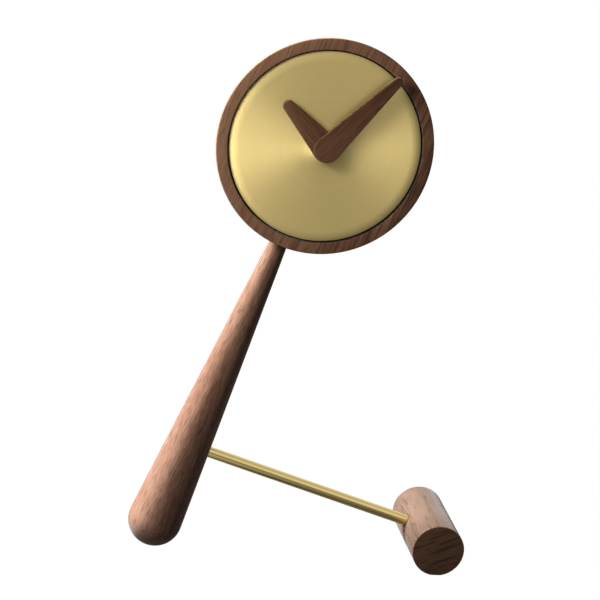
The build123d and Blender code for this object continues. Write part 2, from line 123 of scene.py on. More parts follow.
length = setting(bpy.props.FloatProperty, unit="LENGTH", precision=5)
amount = setting(bpy.props.FloatProperty, subtype="FACTOR", min=0.0, max=1.0)
watts = setting(bpy.props.FloatProperty, unit="POWER")
pixels = setting(bpy.props.FloatProperty, subtype="PIXEL")
tint = setting(bpy.props.FloatVectorProperty, size=3, subtype="COLOR", min=0.0, max=1.0)
spot = setting(bpy.props.FloatVectorProperty, size=3, subtype="TRANSLATION", unit="LENGTH")
extent = setting(bpy.props.FloatVectorProperty, size=2, unit="LENGTH")
rotation = setting(bpy.props.FloatProperty, unit="ROTATION")


def angle(name, description, default):
    """An angle that a user can change, given in degrees."""
    return rotation(name, description, radians(default))


class ClockHeadSizes(bpy.types.PropertyGroup):
    """Sizes of the case, dial, collar and hands."""
    case_radius: length("Case radius", "Outer radius of the case at its front face", 50 * MM)
    back_radius: length("Back radius", "Radius of the tapering case at its back", 41.5 * MM)
    ring_width: length("Ring width", "Width of the wooden ring round the dial", 5.6 * MM)
    edge_round: length("Edge round", "Rounding of the case's front edge", 0.6 * MM)
    back_round: length("Back round", "Rounding of the case's back edge", 1.5 * MM)
    inner_round: length("Inner round", "Rounding of the ring's inner edge", 0.4 * MM)
    recess: length("Dial recess", "Depth of the recess that holds the dial", 2.6 * MM)
    web: length("Web", "Wood left between the recess and the movement's pocket", 3.0 * MM)
    pocket_gap: length("Pocket gap", "Room round the movement in its pocket", 0.5 * MM)
    pocket_corner: length("Pocket corner", "Corner radius of the movement's pocket", 4.5 * MM)
    bush_hole: length("Bush hole", "Radius of the hole for the movement's bush", 4.4 * MM)
    dial_edge: length("Dial edge", "Width of the soft round at the dial's edge", 4.5 * MM)
    dial_drop: length("Dial drop", "How far the dial's edge bends back", 1.1 * MM)
    collar_bore: length("Collar bore", "Radius of the hole through the collar", 4.0 * MM)
    collar_top: length("Collar top", "Radius of the collar where it meets the hands", 5.4 * MM)
    collar_base: length("Collar base", "Radius of the collar on the dial", 12.0 * MM)
    collar_lip: length("Collar lip", "Thickness of the collar at its rim", 0.02 * MM)
    hand_edge: length("Hand edge", "Rounding of the hands' front edges", 0.45 * MM)
    minute_length: length("Minute hand", "Length of the minute hand from the middle to its tip", 45.9 * MM)
    minute_hub: length("Minute hub", "Radius of the minute hand's round end", 6.0 * MM)
    minute_tip: length("Minute tip", "Radius of the minute hand's tip", 2.2 * MM)
    minute_angle: angle("Minute angle", "Where the minute hand points, clockwise from twelve", 41.2)
    hour_length: length("Hour hand", "Length of the hour hand from the middle to its tip", 29.1 * MM)
    hour_hub: length("Hour hub", "Radius of the hour hand's round end", 6.4 * MM)
    hour_tip: length("Hour tip", "Radius of the hour hand's tip", 2.7 * MM)
    hour_angle: angle("Hour angle", "Where the hour hand points, clockwise from twelve", -46.0)


class StandSizes(bpy.types.PropertyGroup):
    """Sizes of the leg, strut and roller."""
    lean: angle("Lean", "Lean of the leg from upright", 18.2)
    leg_length: length("Leg length", "From the middle of the case to the middle of the foot", 195.5 * MM)
    rim_radius: length("Rim radius", "Radius of the leg where it meets the case", 4.3 * MM)
    foot_radius: length("Foot radius", "Radius of the leg's round foot", 12.8 * MM)
    seat_depth: length("Seat depth", "How far the leg's end goes into the case", 6.0 * MM)
    seat_gap: length("Seat gap", "Room round the leg's end in its seat", 0.12 * MM)
    strut_joint: length("Strut joint", "From the middle of the case to the strut, down the leg", 155.7 * MM)
    strut_fall: angle("Strut fall", "How steeply the strut falls to the roller", 17.2)
    strut_radius: length("Strut radius", "Radius of the brass strut", 2.6 * MM)
    roller_radius: length("Roller radius", "Radius of the roller foot", 12.4 * MM)
    roller_edge: length("Roller edge", "Rounding of the roller's edges", 0.35 * MM)
    entry_gap: length("Entry gap", "Room round the strut where it enters the roller", 0.35 * MM)
    entry_depth: length("Entry depth", "How deep that room goes into the roller", 1.2 * MM)


class ClockFinish(bpy.types.PropertyGroup):
    """Colours and figure of the woods, and the looks of brass and plastic."""
    case_dark: tint("Case dark", "Dark streaks of the case's walnut", (0.056, 0.024, 0.012))
    case_mid: tint("Case middle", "Body colour of the case's walnut", (0.166, 0.078, 0.040))
    case_light: tint("Case light", "Pale streaks of the case's walnut", (0.225, 0.120, 0.066))
    case_figure: amount("Case figure", "How far the growth bands of the case show", 0.65)
    hand_dark: tint("Hand dark", "Dark streaks of the hands' walnut", (0.039, 0.015, 0.007))
    hand_mid: tint("Hand middle", "Body colour of the hands' walnut", (0.102, 0.043, 0.019))
    hand_light: tint("Hand light", "Pale streaks of the hands' walnut", (0.142, 0.067, 0.033))
    hand_figure: amount("Hand figure", "How far the growth bands of the hands show", 1.0)
    leg_dark: tint("Leg dark", "Dark streaks of the leg's walnut", (0.059, 0.024, 0.011))
    leg_mid: tint("Leg middle", "Body colour of the leg's walnut", (0.131, 0.063, 0.037))
    leg_light: tint("Leg light", "Pale streaks of the leg's walnut", (0.188, 0.108, 0.072))
    leg_figure: amount("Leg figure", "How far the growth bands of the leg show", 0.4)
    roller_dark: tint("Roller dark", "Dark streaks of the roller's walnut", (0.039, 0.020, 0.011))
    roller_mid: tint("Roller middle", "Body colour of the roller's walnut", (0.082, 0.046, 0.028))
    roller_light: tint("Roller light", "Pale streaks of the roller's walnut", (0.102, 0.062, 0.042))
    roller_figure: amount("Roller figure", "How far the growth bands of the roller show", 0.5)
    roller_end: tint("Roller end", "End grain of the roller", (0.118, 0.057, 0.028))
    roller_lines: angle("Roller lines", "Tilt of the lines on the roller's end", 23)
    brass: tint("Brass", "Colour of the brass dial, collar and strut", (0.82, 0.64, 0.255))
    lacquered: amount("Lacquered", "How far the lacquered dial and collar still act as bare metal", 0.68)
    plastic: tint("Housing", "Colour of the movement's housing", (0.020, 0.020, 0.022))


class StudioSettings(bpy.types.PropertyGroup):
    """The camera's place and the studio light."""
    distance: length("Distance", "From the camera to the point that it looks at", 1000.1 * MM)
    focal: pixels("Focal", "Focal length in pixels of the photograph", 2181.7)
    yaw: angle("Yaw", "How far to the right of the dial's axis the camera stands", -9.79)
    pitch: angle("Pitch", "How far above the level the camera stands", 15.905)
    roll: angle("Roll", "How far the camera is rolled", 5.978)
    aim_right: length("Aim right", "The point looked at, to the right of the dial's middle", -4.49 * MM)
    aim_up: length("Aim up", "The point looked at, above the dial's middle", -71.81 * MM)
    key_place: spot("Key place", "Where the key light stands, on the upper left", (-1.5, 0.6, 1.5))
    key_size: extent("Key size", "Width and height of the key light", (0.8, 0.8))
    key_power: watts("Key power", "Power of the key light", 280.0)
    front_place: spot("Front place", "Where the soft light in front stands", (-0.33, -0.18, 0.39))
    front_size: extent("Front size", "Width and height of the soft light in front", (0.12, 0.12))
    front_power: watts("Front power", "Power of the soft light in front", 2.6)
    card_place: spot("Card place", "Where the low card that the brass reflects stands", (-0.34, -0.17, 0.065))
    card_size: extent("Card size", "Width and height of the low card", (0.2, 0.12))
    card_power: watts("Card power", "Power of the low card", 0.24)
    tall_place: spot("Tall place", "Where the tall card that the brass reflects stands", (-0.2, -0.11, 0.155))
    tall_size: extent("Tall size", "Width and height of the tall card", (0.1, 0.3))
    tall_power: watts("Tall power", "Power of the tall card", 0.50)
    floor_size: length("Floor size", "Side of the square floor", 14.0)
    table_near: length("Table near", "How far from the clock reflections start to show the table", 0.02)
    table_far: length("Table far", "How far from the clock reflections show the table fully", 0.13)


def head_matrix():
    """From the head's own frame, x right, y up and z towards the viewer, to the clock's frame."""
    columns = Matrix(((1, 0, 0), (0, 0, -1), (0, 1, 0)))
    return Matrix.Translation(head_centre) @ columns.to_4x4()


def axis_matrix(origin, along, side):
    """A frame whose z runs along a direction and whose x runs to a side, square to it."""
    along = along.normalized()
    side = (side - along * side.dot(along)).normalized()
    columns = Matrix((side, along.cross(side), along)).transposed()
    return Matrix.Translation(origin) @ columns.to_4x4()


def leg_direction(stand):
    """Down the leg, from the middle of the case to its foot."""
    return Vector((-sin(stand.lean), 0, -cos(stand.lean)))


def strut_direction(stand):
    """Along the strut, down to the roller."""
    return Vector((cos(stand.strut_fall), 0, -sin(stand.strut_fall)))


def strut_start(stand):
    """Where the strut's line meets the leg's."""
    return head_centre + leg_direction(stand) * stand.strut_joint


def level_of(y):
    """Level in the head's frame of a place in the clock's frame."""
    return head_centre.y - y


def case_levels(sizes):
    """Levels of the case's front, of its recess's floor and of its back, in the head's frame."""
    front = level_of(case_low.y)
    return front, front - sizes.recess, level_of(case_high.y)


def arc(centre, radius, start, end, count):
    """Points on an arc, from one angle in degrees to another."""
    turns = [radians(start + (end - start) * step / count) for step in range(count + 1)]
    return [(centre[0] + radius * cos(turn), centre[1] + radius * sin(turn)) for turn in turns]


def circle(radius, count):
    """Outline of a circle."""
    return arc((0, 0), radius, 0, 360, count)[:-1]


def rounded_square(half, corner):
    """Outline of a square with round corners."""
    inner = half - corner
    outline = []
    for start, x, y in ((0, 1, 1), (90, -1, 1), (180, -1, -1), (270, 1, -1)):
        outline += arc((x * inner, y * inner), corner, start, start + 90, 12)
    return outline


def between(start, end, count):
    """Evenly spaced values that part a stretch, without its ends."""
    return [start + (end - start) * step / count for step in range(1, count)]


def toned(colour, factor):
    """A colour made darker or lighter."""
    return tuple(min(1.0, value * factor) for value in colour)


def new_object(name, mesh):
    """An object at the origin for a finished mesh."""
    thing = bpy.data.objects.new(name, mesh)
    bpy.context.scene.collection.objects.link(thing)
    return thing


def mesh_object(name, bm, matrix):
    """An object at the origin for a bmesh in a frame of its own, with its faces turned outwards."""
    bmesh.ops.recalc_face_normals(bm, faces=bm.faces)
    bm.transform(matrix)
    mesh = bpy.data.meshes.new(name)
    bm.to_mesh(mesh)
    bm.free()
    return new_object(name, mesh)


def shade(mesh, sharp=30):
    """Smooth shading, with edges past an angle in degrees left sharp."""
    mesh.shade_smooth()
    mesh.set_sharp_from_angle(angle=radians(sharp))


def dress(thing, node, material):
    """Give a piece its material, and let it stand for a node of the frame."""
    thing.data.materials.clear()
    thing.data.materials.append(material)
    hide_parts(node)
    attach(thing, body_of_node[node])


def lathe(name, profile, matrix, segments=192, radial=False):
    """A turned mesh from a profile of (radius, height) points, with a UV map along and round it.

    The map's U runs round the piece, or outwards along the profile where radial is set. A profile that ends
    where it starts makes a ring.
    """
    bm = bmesh.new()
    spin = bm.loops.layers.uv.new(SPIN_MAP)
    turns = [2 * pi * step / segments for step in range(segments)]
    rings = []
    for radius, height in profile:
        if radius == 0:
            rings.append([bm.verts.new((0, 0, height))] * segments)
        else:
            rings.append([bm.verts.new((radius * cos(turn), radius * sin(turn), height)) for turn in turns])
    if profile[0] == profile[-1]:
        for corner in rings[-1]:
            bm.verts.remove(corner)
        rings[-1] = rings[0]
    travel = [0.0]
    for start, end in zip(profile, profile[1:]):
        travel.append(travel[-1] + hypot(end[0] - start[0], end[1] - start[1]))
    for row in range(len(profile) - 1):
        for step in range(segments):
            after = (step + 1) % segments
            corners = [(rings[row][step], step, row), (rings[row][after], step + 1, row),
                       (rings[row + 1][after], step + 1, row + 1), (rings[row + 1][step], step, row + 1)]
            unique = []
            for corner in corners:
                if corner[0] not in [other[0] for other in unique]:
                    unique.append(corner)
            face = bm.faces.new([corner[0] for corner in unique])
            for loop, corner in zip(face.loops, unique):
                place = (corner[1] / segments, travel[corner[2]] / travel[-1])
                loop[spin].uv = (place[1], place[0]) if radial else place
    thing = mesh_object(name, bm, matrix)
    shade(thing.data)
    return thing


def prism(name, outline, low, high, matrix, edge=0.0):
    """A closed upright block on an outline of (x, y) points, with its top edge rounded by an edge radius."""
    bm = bmesh.new()
    base = bm.faces.new([bm.verts.new((x, y, low)) for x, y in outline])
    sides = bmesh.ops.extrude_face_region(bm, geom=[base])
    top = [item for item in sides["geom"] if isinstance(item, bmesh.types.BMVert)]
    bmesh.ops.translate(bm, verts=top, vec=(0, 0, high - low))
    if edge:
        rim = [item for item in bm.edges if all(corner in top for corner in item.verts)]
        bmesh.ops.bevel(bm, geom=rim, offset=edge, segments=5, profile=0.5, affect="EDGES")
    return mesh_object(name, bm, matrix)


def applied(thing):
    """Turn a piece's modifiers into a plain mesh."""
    evaluated = thing.evaluated_get(bpy.context.evaluated_depsgraph_get())
    mesh = bpy.data.meshes.new_from_object(evaluated)
    old = thing.data
    thing.modifiers.clear()
    thing.data = mesh
    mesh.name = thing.name
    bpy.data.meshes.remove(old)
    return mesh


def carve(thing, cutters):
    """Cut pieces out of another and remove the cutters."""
    for cutter in cutters:
        cut = thing.modifiers.new(cutter.name, "BOOLEAN")
        cut.operation = "DIFFERENCE"
        cut.solver = "EXACT"
        cut.object = cutter
    mesh = applied(thing)
    for cutter in cutters:
        block = cutter.data
        bpy.data.objects.remove(cutter)
        bpy.data.meshes.remove(block)
    shade(mesh)


class NodeTree:
    """A node tree under construction, with short ways to add and link its nodes."""

    def __init__(self, tree):
        self.tree = tree

    def add(self, kind, inputs=None, **settings):
        """A new node with its settings, and with its inputs linked or set."""
        node = self.tree.nodes.new(kind)
        for key, value in settings.items():
            setattr(node, key, value)
        self.feed(node, inputs or {})
        return node

    def feed(self, node, inputs):
        """Link a node's inputs to sockets, or set them to plain values."""
        for key, value in inputs.items():
            if isinstance(value, bpy.types.NodeSocket):
                self.tree.links.new(value, node.inputs[key])
            else:
                node.inputs[key].default_value = value

    def math(self, operation, first, second=0.0):
        """The result of an operation on sockets or plain values."""
        return self.add("ShaderNodeMath", {0: first, 1: second}, operation=operation).outputs[0]

    def plus(self, first, second):
        """The sum of two sockets or values."""
        return self.math("ADD", first, second)

    def minus(self, first, second):
        """The difference of two sockets or values."""
        return self.math("SUBTRACT", first, second)

    def times(self, first, second):
        """The product of two sockets or values."""
        return self.math("MULTIPLY", first, second)

    def larger(self, first, second):
        """The larger of two sockets or values."""
        return self.math("MAXIMUM", first, second)


class Finish(NodeTree):
    """A material or world under construction."""

    def __init__(self, name, store="materials", shader="Principled BSDF"):
        self.block = getattr(bpy.data, store).new(name)
        self.block.use_nodes = True
        super().__init__(self.block.node_tree)
        self.shader = self.tree.nodes[shader]

    def done(self, inputs):
        """Link or set the shader's inputs, and return the finished material or world."""
        self.feed(self.shader, inputs)
        return self.block

    def object_coordinates(self):
        """Places in the piece's own frame, in metres."""
        return self.add("ShaderNodeTexCoord").outputs["Object"]

    def axes(self, source):
        """The three parts of a vector."""
        return self.add("ShaderNodeSeparateXYZ", {0: source}).outputs

    def along(self, source, direction):
        """How far a vector runs along a direction."""
        node = self.add("ShaderNodeVectorMath", {0: source, 1: direction}, operation="DOT_PRODUCT")
        return node.outputs["Value"]

    def mapped(self, source, scale, rotation=(0, 0, 0)):
        """Coordinates turned and scaled for a pattern."""
        inputs = {"Vector": source, "Scale": scale, "Rotation": rotation}
        return self.add("ShaderNodeMapping", inputs).outputs[0]

    def noise(self, source, scale, detail=3.0, roughness=0.55, distortion=0.0):
        """A soft random pattern."""
        inputs = {"Vector": source, "Scale": scale, "Detail": detail, "Roughness": roughness,
                  "Distortion": distortion}
        return self.add("ShaderNodeTexNoise", inputs).outputs["Fac"]

    def span(self, source, low, high, to_low=0.0, to_high=1.0):
        """A value carried from one stretch to another, held at its ends."""
        inputs = {"Value": source, "From Min": low, "From Max": high, "To Min": to_low, "To Max": to_high}
        return self.add("ShaderNodeMapRange", inputs).outputs["Result"]

    def varied(self, noise, low, high):
        """A noise carried to the stretch between two values."""
        return self.span(noise, NOISE_LOW, NOISE_HIGH, low, high)

    def ramp(self, source, stops):
        """Colours that run into each other along a value."""
        node = self.add("ShaderNodeValToRGB", {"Fac": source})
        points = node.color_ramp.elements
        while len(points) < len(stops):
            points.new(0.5)
        for point, (place, colour) in zip(points, stops):
            point.position = place
            point.color = (*colour, 1.0)
        return node.outputs["Color"]

    def blend(self, factor, first, second):
        """A mix of two colours."""
        node = self.add("ShaderNodeMix", data_type="RGBA")
        self.feed(node, {"Factor": factor, 6: first, 7: second})
        return node.outputs[2]

    def bump(self, height, strength, depth):
        """The surface's direction under a fine relief."""
        inputs = {"Height": height, "Strength": strength, "Distance": depth}
        return self.add("ShaderNodeBump", inputs).outputs["Normal"]


def end_grain(wood, board, grain, colour, end_colour):
    """The wood's colour, with the lines of the end grain on the faces square to the grain."""
    dim, pale = toned(end_colour, 0.45), toned(end_colour, 1.25)
    slanting, square_on = 0.80, 0.93
    lines = wood.noise(wood.mapped(board, END_DRAWN), END_FINENESS, detail=4, roughness=0.65)
    cut = wood.ramp(lines, [(0.40, dim), (0.47, end_colour), (0.60, end_colour), (0.70, pale)])
    facing = wood.along(wood.add("ShaderNodeNewGeometry").outputs["True Normal"], grain)
    return wood.blend(wood.span(wood.math("ABSOLUTE", facing), slanting, square_on), colour, cut)


def painted_recess_shade(wood, colour, radius, depth):
    """The wood's colour with painted shade: black inside a radius round the dial's axis, as far back as a
    depth, where the recess lies in shadow.
    """
    offset = wood.add("ShaderNodeVectorMath", {0: wood.object_coordinates(), 1: head_centre},
                      operation="SUBTRACT")
    right, back, up = wood.axes(offset.outputs["Vector"])
    squares = wood.plus(wood.math("POWER", right, 2), wood.math("POWER", up, 2))
    near = wood.math("LESS_THAN", wood.math("SQRT", squares), radius)
    shallow = wood.math("LESS_THAN", back, depth - head_centre.y)
    return wood.blend(wood.times(near, shallow), colour, RECESS_SHADE_COLOUR)


def walnut(name, finish, piece, grain, across, end_colour=None, painted_light_side=None, recess_shade=None):
    """Oiled walnut: growth bands, fibres and open pores along the grain, read in object coordinates.

    The piece's figure says how far the bands show: 1 for a strong figure, 0 for none. As painted light, the
    tone grows lighter along the given side vector, whose length is the growth per metre, counted from the
    middle of the dial. The recess shade, given as a radius and a depth, is painted black where the wood lies
    in shadow.
    """
    wood = Finish(name)
    dark, middle, light = (getattr(finish, f"{piece}_{tone}") for tone in ("dark", "mid", "light"))
    grain = grain.normalized()
    across = (across - grain * across.dot(grain)).normalized()
    turn = Matrix((across, grain.cross(across), grain)).to_euler()
    board = wood.mapped(wood.object_coordinates(), (1 / MM, 1 / MM, 1 / MM), turn)
    drift = wood.noise(wood.mapped(board, DRIFT_DRAWN), DRIFT_FINENESS, detail=2)
    bands = wood.noise(wood.mapped(board, BAND_DRAWN), BAND_FINENESS, detail=4, roughness=0.6, distortion=0.5)
    fibres = wood.noise(wood.mapped(board, FIBRE_DRAWN), FIBRE_FINENESS, detail=3, roughness=0.65)
    pores = wood.noise(wood.mapped(board, PORE_DRAWN), PORE_FINENESS, detail=1, roughness=0.4)
    pore_mask = wood.span(pores, PORE_START, PORE_FULL)
    band_share = BAND_SHARE * getattr(finish, f"{piece}_figure")
    tone = wood.plus(wood.times(bands, band_share), wood.times(fibres, GRAIN_SHARE - band_share))
    tone = wood.plus(tone, wood.times(drift, DRIFT_SHARE))
    # Painted light: the tone grows lighter towards the side where the light falls
    if painted_light_side is not None:
        growth = wood.along(wood.object_coordinates(), painted_light_side)
        tone = wood.plus(tone, wood.minus(growth, painted_light_side.dot(head_centre)))
    colour = wood.ramp(tone, [(DARK_TONE, dark), (MIDDLE_TONE, middle), (LIGHT_TONE, light)])
    colour = wood.blend(wood.times(pore_mask, PORE_STRENGTH), colour, (*toned(dark, PORE_SHADE), 1.0))
    if end_colour is not None:
        colour = end_grain(wood, board, grain, colour, end_colour)
    # Painted shade: the walls of the dial's recess are blackened where they lie in shadow
    if recess_shade is not None:
        colour = painted_recess_shade(wood, colour, *recess_shade)
    fibre_height = 0.35
    relief = wood.minus(wood.times(fibres, fibre_height), pore_mask)
    return wood.done({"Base Color": colour, "Roughness": wood.varied(fibres, 0.44, 0.58),
                      "Specular IOR Level": 0.12, "Sheen Weight": 0.10, "Sheen Roughness": 0.5,
                      "Normal": wood.bump(relief, strength=0.35, depth=0.06 * MM)})


def brushed_brass(name, colour, lines, streaks, roughness, anisotropic, metallic=1.0):
    """Brass with fine turned or drawn lines that cross the map's U direction.

    A metallic share under 1 stands for a matt lacquer, which takes soft shadows.
    """
    brass = Finish(name)
    spin = brass.add("ShaderNodeUVMap", uv_map=SPIN_MAP).outputs["UV"]
    fine_share, broad_share = 0.75, 0.25
    broad_lines, broad_streaks = 0.12 * lines, 0.5 * streaks
    fine = brass.noise(brass.mapped(spin, (lines, streaks, 1)), 1.0, detail=3, roughness=0.7)
    broad = brass.noise(brass.mapped(spin, (broad_lines, broad_streaks, 1)), 1.0, detail=2)
    tone = brass.plus(brass.times(fine, fine_share), brass.times(broad, broad_share))
    tangent = brass.add("ShaderNodeTangent", direction_type="UV_MAP", uv_map=SPIN_MAP)
    shades = [(NOISE_LOW, toned(colour, 0.88)), (NOISE_HIGH, toned(colour, 1.06))]
    return brass.done({"Base Color": brass.ramp(tone, shades), "Metallic": metallic,
                       "Roughness": brass.varied(fine, roughness - 0.04, roughness + 0.04),
                       "Anisotropic": anisotropic, "Tangent": tangent.outputs["Tangent"],
                       "Normal": brass.bump(fine, strength=0.12, depth=0.02 * MM)})


def plain_metal(name, colour, roughness):
    """Turned, stamped or plated metal with faint tool marks."""
    metal = Finish(name)
    marks_per_metre = (900, 3200, 900)
    marks = metal.noise(metal.mapped(metal.object_coordinates(), marks_per_metre), 1.0, detail=3)
    shades = [(MOTTLE_LOW, toned(colour, 0.82)), (MOTTLE_HIGH, colour)]
    return metal.done({"Base Color": metal.ramp(marks, shades), "Metallic": 1.0,
                       "Roughness": metal.varied(marks, roughness - 0.06, roughness + 0.08),
                       "Normal": metal.bump(marks, strength=0.1, depth=0.02 * MM)})


def moulded(name, colour, roughness):
    """Moulded plastic or rubber with a fine even texture and a slight mottle."""
    plastic = Finish(name)
    place = plastic.object_coordinates()
    fine = plastic.noise(place, scale=2400, detail=2)
    mottle = plastic.noise(place, scale=60, detail=3)
    shades = [(MOTTLE_LOW, toned(colour, 0.8)), (MOTTLE_HIGH, toned(colour, 1.15))]
    return plastic.done({"Base Color": plastic.ramp(mottle, shades),
                         "Roughness": plastic.varied(fine, roughness - 0.07, roughness + 0.07),
                         "Normal": plastic.bump(fine, strength=0.18, depth=0.04 * MM)})


def wound_copper(name):
    """Enamelled copper wire laid side by side across the former, with painted shade in the grooves between the
    wires.
    """
    copper = Finish(name)
    wave = copper.add("ShaderNodeTexWave", wave_type="BANDS", bands_direction="X")
    copper.feed(wave, {"Vector": copper.object_coordinates(), "Scale": 900, "Distortion": 0.4})
    wire = wave.outputs["Fac"]
    # Painted shade and highlight: each band is dark in the groove between wires and bright on the wire's round
    # top
    shades = [(0.1, (0.22, 0.07, 0.02)), (0.8, (0.72, 0.30, 0.12))]
    return copper.done({"Base Color": copper.ramp(wire, shades), "Metallic": 1.0, "Roughness": 0.32,
                        "Normal": copper.bump(wire, strength=0.5, depth=0.1 * MM)})


def printed_board(name):
    """Green solder resist over faint copper tracks."""
    board = Finish(name)
    place = board.object_coordinates()
    tracks = board.add("ShaderNodeTexBrick", {
        "Vector": board.mapped(place, (300, 300, 300), (radians(90), 0, 0)),
        "Color1": (0.020, 0.13, 0.05, 1), "Color2": (0.026, 0.16, 0.06, 1),
        "Mortar": (0.05, 0.24, 0.09, 1), "Mortar Size": 0.06})
    return board.done({"Base Color": tracks.outputs["Color"],
                       "Roughness": board.varied(board.noise(place, scale=1500), 0.28, 0.42),
                       "Normal": board.bump(tracks.outputs["Fac"], strength=0.2, depth=0.03 * MM)})


def cell_sleeve(name, right_end):
    """Sleeve of the cell: dark body, brass-coloured band near its positive end, and that end bare steel."""
    sleeve = Finish(name)
    band_length = 13 * MM
    steel_length = 1.7 * MM
    place = sleeve.object_coordinates()
    across = sleeve.axes(place)["X"]
    band = sleeve.math("GREATER_THAN", across, right_end - band_length)
    steel = sleeve.math("GREATER_THAN", across, right_end - steel_length)
    grain = sleeve.noise(place, scale=400, detail=2)
    body = sleeve.ramp(grain, [(NOISE_LOW, (0.013, 0.014, 0.016)), (NOISE_HIGH, (0.026, 0.028, 0.031))])
    colour = sleeve.blend(band, body, (0.55, 0.33, 0.11, 1))
    colour = sleeve.blend(steel, colour, (0.6, 0.6, 0.58, 1))
    return sleeve.done({"Base Color": colour, "Metallic": sleeve.larger(sleeve.times(band, 0.6), steel),
                        "Roughness": sleeve.varied(grain, 0.24, 0.36),
                        "Normal": sleeve.bump(grain, strength=0.05, depth=0.02 * MM)})


class CLOCK_OT_case(bpy.types.Operator):
    """Turn the walnut case, cut its pocket and leg seat, and give it its grain, with painted shade in the
    dial's recess and painted light towards its upper left
    """
    bl_idname = "clock.case"
    bl_label = "Walnut case"

    def execute(self, context):
        sizes = context.scene.clock_head
        stand = context.scene.clock_stand
        finish = context.scene.clock_finish
        case = lathe("walnut_case", self.outline(sizes), head_matrix(), segments=256)
        carve(case, self.cutters(sizes, stand))
        # Painted shade: the recess round the dial is blackened up to its rounded lip
        shade_radius = sizes.case_radius - sizes.ring_width + 0.2 * sizes.inner_round
        shade_depth = case_low.y + sizes.recess + sizes.inner_round
        # Painted light: the case's tone grows lighter towards its upper left
        wood = walnut("case_walnut", finish, "case", leg_direction(stand), Vector((1, 0, 0)),
                      painted_light_side=CASE_PAINTED_LIGHT_SIDE, recess_shade=(shade_radius, shade_depth))
        dress(case, "case_body", wood)
        return {"FINISHED"}

    def outline(self, sizes):
        """The case's profile: bush hole, recess, ring with eased edges, tapering side and back."""
        front, floor, back = case_levels(sizes)
        hole = sizes.bush_hole
        opening = sizes.case_radius - sizes.ring_width
        lip = sizes.inner_round
        edge = sizes.edge_round
        rear = sizes.back_round
        taper = atan2(sizes.case_radius - sizes.back_radius, front - back)
        side = -degrees(taper)
        edge_middle = sizes.case_radius - edge * (tan(taper) + 1 / cos(taper))
        rear_middle = sizes.back_radius + rear * (tan(taper) - 1 / cos(taper))
        profile = [(hole, back), (hole, floor), (opening, floor)]
        profile += arc((opening + lip, front - lip), lip, 180, 90, 6)
        profile += arc((edge_middle, front - edge), edge, 90, side, 8)
        profile += arc((rear_middle, back + rear), rear, side, -90, 10)
        return profile + [(hole, back)]

    def cutters(self, sizes, stand):
        """Blocks for the movement's pocket and the leg's seat."""
        floor, back = case_levels(sizes)[1:]
        half = (housing_high.x - housing_low.x) / 2 + sizes.pocket_gap
        square = rounded_square(half, sizes.pocket_corner)
        seat_ring = circle(stand.rim_radius + stand.seat_gap, 64)
        seat_top = sizes.case_radius - stand.seat_depth
        seat_end = sizes.case_radius + stand.seat_depth
        leg_axis = axis_matrix(head_centre, leg_direction(stand), Vector((0, -1, 0)))
        return [prism("pocket", square, back - CUT_OVERLAP, floor - sizes.web, head_matrix()),
                prism("leg_seat", seat_ring, seat_top, seat_end, leg_axis)]


class CLOCK_OT_dial(bpy.types.Operator):
    """Turn the spun brass dial and the flared collar in its middle"""
    bl_idname = "clock.dial"
    bl_label = "Brass dial"

    def execute(self, context):
        self.dial(context.scene.clock_head, context.scene.clock_finish)
        self.collar(context.scene.clock_head, context.scene.clock_finish)
        return {"FINISHED"}

    def dial(self, sizes, finish):
        """The dial: a flat plate whose edge bends softly back."""
        back = level_of(dial_high.y)
        face = level_of(dial_low.y)
        radius = (dial_high.x - dial_low.x) / 2
        bend_radius = (sizes.dial_edge ** 2 + sizes.dial_drop ** 2) / (2 * sizes.dial_drop)
        bend = degrees(asin(sizes.dial_edge / bend_radius))
        hole = sizes.bush_hole
        flat = radius - sizes.dial_edge
        profile = [(hole, back), (hole, face)]
        profile += [(place, face) for place in between(hole, flat, 12)]
        profile += arc((flat, face - bend_radius), bend_radius, 90, 90 - bend, 24)
        profile += [(radius, back), (hole, back)]
        dial = lathe("brass_dial", profile, head_matrix(), segments=256, radial=True)
        spun = brushed_brass("spun_brass", finish.brass, lines=1500, streaks=1.0, roughness=0.56,
                             anisotropic=0.87, metallic=finish.lacquered)
        dress(dial, "dial_plate", spun)

    def collar(self, sizes, finish):
        """The collar: a quarter of an ellipse, from the hands down to the dial."""
        face = level_of(dial_low.y)
        top = level_of(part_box("centre_collar")[0].y)
        bore = sizes.collar_bore
        flare = sizes.collar_base - sizes.collar_top
        rise = top - face - sizes.collar_lip
        profile = [(bore, face), (bore, top)]
        profile += [(sizes.collar_top + flare * (1 - inward), top - rise * down)
                    for inward, down in arc((0, 0), 1, 0, 90, 16)]
        profile += [(sizes.collar_base, face), (bore, face)]
        collar = lathe("brass_collar", profile, head_matrix(), radial=True)
        turned = brushed_brass("turned_brass", finish.brass, lines=240, streaks=1.0, roughness=0.52,
                               anisotropic=0.87, metallic=finish.lacquered)
        dress(collar, "centre_collar", turned)


class CLOCK_OT_hands(bpy.types.Operator):
    """Shape the two walnut hands with their eased edges"""
    bl_idname = "clock.hands"
    bl_label = "Walnut hands"

    def execute(self, context):
        sizes = context.scene.clock_head
        for hand in ("hour", "minute"):
            measures = [getattr(sizes, f"{hand}_{part}") for part in ("length", "hub", "tip", "angle")]
            self.shape(context, f"{hand}_hand", *measures)
        return {"FINISHED"}

    def shape(self, context, node, reach, hub, tip, turn):
        """One hand: two round ends and their common tangents, with a rounded front edge."""
        low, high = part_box(node)
        middle = reach - tip
        side = degrees(acos((hub - tip) / middle))
        outline = arc((0, middle), tip, 90 - side, 90 + side, 24)
        outline += arc((0, 0), hub, 90 + side, 450 - side, 40)
        hand = prism(f"walnut_{node}", outline, level_of(high.y), level_of(low.y),
                     head_matrix() @ Matrix.Rotation(-turn, 4, "Z"), edge=context.scene.clock_head.hand_edge)
        shade(hand.data, 40)
        grain = Vector((sin(turn), 0, cos(turn)))
        wood = walnut(f"{node}_walnut", context.scene.clock_finish, "hand", grain, Vector((0, 1, 0)))
        dress(hand, node, wood)


